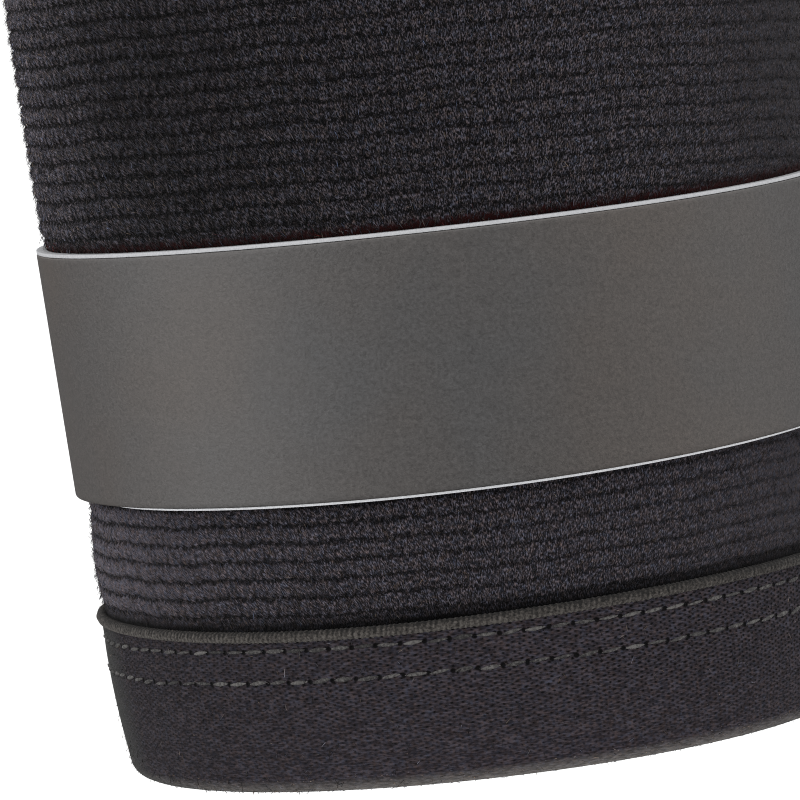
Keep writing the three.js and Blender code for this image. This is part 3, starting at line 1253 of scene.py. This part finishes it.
# %% Loose fibres
def make_fuzz(hem, seed):
    rng = np.random.default_rng(seed)
    lying, rim = lying_fibres(rng, hem), rim_fibres(rng, hem)
    roots = np.concatenate([lying[0], rim[0]])
    along = np.concatenate([lying[1], rim[1]])
    length = np.concatenate([rng.uniform(0.5, 1.5, FUZZ), rng.uniform(0.25, 0.6, RIM_FUZZ)]) * MM
    along *= length[:, None] / np.linalg.norm(along, axis=1, keepdims=True)
    shade = np.concatenate([rng.beta(1.3, 2.8, FUZZ), rng.uniform(0.35, 0.85, RIM_FUZZ)])
    colours = fibre_colours(shade, rng.uniform(-0.4, 1, len(shade)))
    return make_fibres(f"{hem}_fuzz", roots, along, rng.uniform(0.07, 0.11, len(shade)) * MM, colours)


for hem, seed in (("lower", 41), ("upper", 42)):
    fuzz = make_fuzz(hem, seed)
    fuzz.data.materials.append(nap_material)
    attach(fuzz, "root")
    print(fuzz.name, len(fuzz.data.polygons), "triangles")

# %% [markdown]
# ## Coated band
# The band is a smooth grey strip on a pale backing. The backing shows as a thin line below the strip and
# laps over its upper edge. A Bevel modifier could soften a plain strip, but both are turned outlines with
# small curves at their corners. Extra rows close to the edges keep the face flat, because smooth shading
# would otherwise spread the rounding over its whole height.

# %% Band outline
BAND_LOWER_RADIUS, BAND_UPPER_RADIUS = 57.4, 58.95
FACE = 0.9
BOND = 0.15
BACKING = 0.55
UPPER_LINE = 0.52
LOWER_LINE = 0.42
LAP = 0.05  # gap between the face and the backing that laps over it
EDGE_ROW = 1.0
BAND_COLUMNS = 240
HIDDEN_AT, HIDDEN_WIDE = 86.0, 30.0  # degrees from the back where the lower line hides


def band_radius(height):
    share = (height - BAND_LOW) / (BAND_HIGH - BAND_LOW)
    return BAND_LOWER_RADIUS + share * (BAND_UPPER_RADIUS - BAND_LOWER_RADIUS)


def backing_radius(height):
    return band_radius(height) - FACE - BOND


def rounded(corners, radius, steps=3):
    """Outline with each corner replaced by a small curve."""
    corners = [Vector(c) for c in corners]
    outline = []
    for i, corner in enumerate(corners):
        before = (corners[i - 1] - corner).normalized() * radius
        after = (corners[(i + 1) % len(corners)] - corner).normalized() * radius
        for t in np.linspace(0, 1, steps):
            outline.append(tuple(corner + before * (1 - t) ** 2 + after * t**2))
    return outline


def wander(piece, hidden_line=False):
    """Lets a band piece follow the small waves of the band's two edges. The lower line hides on the left."""
    places = positions(piece.data)
    angle = around_angle(places)
    height = height_of(places)
    share = (height - BAND_LOW) / (BAND_HIGH - BAND_LOW)
    rise = edge_wave("band bottom", angle) * (1 - share) + edge_wave("band top", angle) * share
    if hidden_line:
        left = 1 / (1 + (np.abs(np.degrees(angle) - HIDDEN_AT) / HIDDEN_WIDE) ** 8)
        rise += np.where(height < BAND_LOW, (LOWER_LINE + 0.1) * left, 0.0)
    places[:, 2] += rise * MM
    move_to(piece.data, places)
    return piece


# %% Band pieces
WARM_PLACES = [  # degrees right of the front, height, spread in degrees and in mm, share of the warm grey
    (-85.0, 60.0, 44.0, 60.0, 0.50),
    (27.0, 60.0, 15.0, 60.0, 0.46),
    (50.0, 60.0, 14.0, 60.0, 0.27),
]


def make_band_face():
    heights = (BAND_LOW, BAND_LOW + EDGE_ROW, BAND_HIGH - EDGE_ROW, BAND_HIGH)
    sides = [(band_radius(h), h) for h in heights]
    corners = sides + [(r - FACE, h) for r, h in sides[::-1]]
    face = wander(spin_ring("band_strip", rounded(corners, 0.25), BAND_COLUMNS))
    places = positions(face.data)
    mark(face.data, warm=patches(WARM_PLACES, around_angle(places), height_of(places)))
    return face


def make_band_backing():
    bottom, lap = BAND_LOW - LOWER_LINE, BAND_HIGH + LAP
    top = lap + UPPER_LINE
    corners = [
        (backing_radius(bottom), bottom),
        (backing_radius(lap), lap),
        (band_radius(lap) - LAP, lap),
        (band_radius(top) - LAP, top),
        (backing_radius(top) - BACKING, top),
        (backing_radius(bottom) - BACKING, bottom),
    ]
    return wander(spin_ring("band_pale_backing", rounded(corners, 0.08), BAND_COLUMNS), hidden_line=True)


# %% [markdown]
# ## Band finishes
# The coating is satin and even, with a fine grain and a grey that is warmer in some places than in others. A
# smooth plastic would shine too evenly, so the grain also changes the roughness and the bump. The backing is
# plain and pale, and a little paler at the lower edge, which looks into the light from the floor.

# %% Band finishes
COOL_GREY, WARM_GREY = (0.0405, 0.0440, 0.0480), (0.0560, 0.0445, 0.0375)
PALE_TONES = [(0.25, (0.40, 0.405, 0.42)), (0.6, (0.47, 0.475, 0.49)), (0.8, (0.50, 0.505, 0.515))]


def band_finish():
    material, tree, shader = principled(
        "satin grey coating", Specular_IOR_Level=1.0, Specular_Tint=(1.0, 0.953, 0.925, 1.0)
    )
    place = object_place(tree)
    speckle = noise(tree, place, 1900.0, 4.0, 0.8)
    cloud = maths(tree, "SUBTRACT", noise(tree, place, 52.0, 2.0, 0.5), 0.23)
    warmth = maths(tree, "ADD", cloud, attribute(tree, "warm"), clamp=True)
    grain = maths(tree, "MULTIPLY_ADD", maths(tree, "SUBTRACT", speckle, 0.5), 2.6, 1.0)
    colour = scaled(tree, mixed(tree, warmth, COOL_GREY, WARM_GREY), maths(tree, "MAXIMUM", grain, 0.2))
    tree.links.new(colour, shader.inputs["Base Color"])
    tree.links.new(maths(tree, "MULTIPLY_ADD", speckle, 0.2, 0.35), shader.inputs["Roughness"])
    bumped(tree, shader, speckle, 0.00008)
    return material


def backing_finish():
    material, tree, shader = principled("pale backing", Roughness=0.6, Specular_IOR_Level=0.3)
    place = object_place(tree)
    grain = noise(tree, place, 2500.0, 2.0, 0.6)
    low = maths(tree, "LESS_THAN", axes(tree, place)["Z"], frame_z((BAND_LOW + BAND_HIGH) / 2))
    colour = scaled(tree, ramp(tree, grain, PALE_TONES), maths(tree, "MULTIPLY_ADD", low, 0.6, 1.0))
    tree.links.new(colour, shader.inputs["Base Color"])
    bumped(tree, shader, grain, 0.00005)
    return material


# %% Band
band_strip = make_band_face()
band_strip.data.materials.append(band_finish())
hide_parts("band_face")
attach(band_strip, "root")
backing = make_band_backing()
backing.data.materials.append(backing_finish())
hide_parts("band_backing")
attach(backing, "root")
print("band:", len(band_strip.data.polygons), "faces, backing:", len(backing.data.polygons), "faces")

# %% [markdown]
# ## Floor, light and camera
# The picture is a close studio view on white. A wide pale floor lies below the support, which its leg would
# hold up. Lamps would give hard spots on the coating, so the light is a sky of a few soft round patches: a
# bright one on the left, weaker ones on the right and a dim one behind the camera. The camera's place was
# worked out from the ellipses that the round edges make.

# %% Floor
FLOOR_DROP = 90.0
FLOOR_TONES = [(0.3, (0.93, 0.93, 0.93)), (0.7, (0.95, 0.95, 0.95))]


def make_floor():
    bm = bmesh.new()
    bmesh.ops.create_grid(bm, x_segments=8, y_segments=8, size=30)
    bmesh.ops.translate(bm, verts=bm.verts, vec=(0, 0, frame_z(-FLOOR_DROP)))
    mesh = bpy.data.meshes.new("floor")
    bm.to_mesh(mesh)
    bm.free()
    floor = add_piece(mesh)
    material, tree, shader = principled("pale floor", Roughness=0.9, Specular_IOR_Level=0.1)
    mottle = noise(tree, object_place(tree), 3.0)
    tree.links.new(ramp(tree, mottle, FLOOR_TONES), shader.inputs["Base Color"])
    mesh.materials.append(material)
    floor.visible_glossy = False  # the coating mirrors the studio and not the white ground
    return floor


make_floor()
print("floor", FLOOR_DROP, "mm below the support")

# %% Light
SKY_BASE = 0.05
SKY_TOP = 1.42
LOBES = [  # degrees to the right of the camera, degrees up, sharpness, strength
    (0.0, 25.0, 3.0, 0.385),
    (-70.0, 5.0, 8.0, 1.75),
    (-125.0, 8.0, 5.0, 0.25),
    (70.0, 5.0, 5.0, 0.50),
    (108.0, 8.0, 5.0, 0.46),
]


def towards(azimuth, elevation):
    turn, rise = math.radians(azimuth), math.radians(elevation)
    return (math.sin(turn) * math.cos(rise), -math.cos(turn) * math.cos(rise), math.sin(rise))


def soft_lobe(tree, direction, azimuth, elevation, sharpness, strength):
    """A round patch of light that fades smoothly away from its middle."""
    facing = tree.nodes.new("ShaderNodeVectorMath")
    facing.operation = "DOT_PRODUCT"
    facing.inputs[1].default_value = towards(azimuth, elevation)
    tree.links.new(direction, facing.inputs[0])
    fade = maths(tree, "MULTIPLY", maths(tree, "SUBTRACT", facing.outputs["Value"], 1.0), sharpness)
    return maths(tree, "MULTIPLY", maths(tree, "EXPONENT", fade), strength)


def make_sky():
    world = bpy.data.worlds.new("studio")
    bpy.context.scene.world = world
    world.use_nodes = True
    tree = world.node_tree
    direction = tree.nodes.new("ShaderNodeTexCoord").outputs["Generated"]
    up = maths(tree, "MAXIMUM", axes(tree, direction)["Z"], 0.0)
    strength = maths(tree, "MULTIPLY_ADD", up, SKY_TOP, SKY_BASE)
    for lobe in LOBES:
        strength = maths(tree, "ADD", strength, soft_lobe(tree, direction, *lobe))
    sky = tree.nodes["Background"]
    sky.inputs["Color"].default_value = (1, 1, 1, 1)
    tree.links.new(strength, sky.inputs["Strength"])


make_sky()
print("patches of light:", len(LOBES))

# %% Camera
PIXELS = 800
FOCAL_PIXELS = 6989.0
SENSOR = 36.0
EYE = (0.0, -1038.2, 140.07)
YAW, PITCH, ROLL = -0.0075, -0.0858, -0.1150


def make_camera():
    ahead = Vector((math.sin(YAW) * math.cos(PITCH), math.cos(YAW) * math.cos(PITCH), math.sin(PITCH)))
    right = Vector((math.cos(YAW), -math.sin(YAW), 0.0))
    up = right.cross(ahead)
    across = math.cos(ROLL) * right + math.sin(ROLL) * up
    upright = -math.sin(ROLL) * right + math.cos(ROLL) * up
    data = bpy.data.cameras.new("camera")
    data.sensor_width = SENSOR
    data.lens = FOCAL_PIXELS / PIXELS * SENSOR
    data.clip_start = 0.05
    data.clip_end = 200.0
    camera = bpy.data.objects.new("camera", data)
    bpy.context.scene.collection.objects.link(camera)
    turn = Matrix((across, upright, -ahead)).transposed().to_4x4()
    eye = Vector((EYE[0], EYE[1], EYE[2] - LENGTH / 2)) * MM
    camera.matrix_world = Matrix.Translation(eye) @ turn
    bpy.context.scene.camera = camera
    print("camera lens:", round(data.lens, 1), "mm")


make_camera()
bpy.context.scene.view_settings.view_transform = "Standard"
bpy.context.scene.view_settings.look = "None"
bpy.context.scene.cycles.denoising_prefilter = "NONE"
bpy.context.scene.cycles.filter_width = 1.1
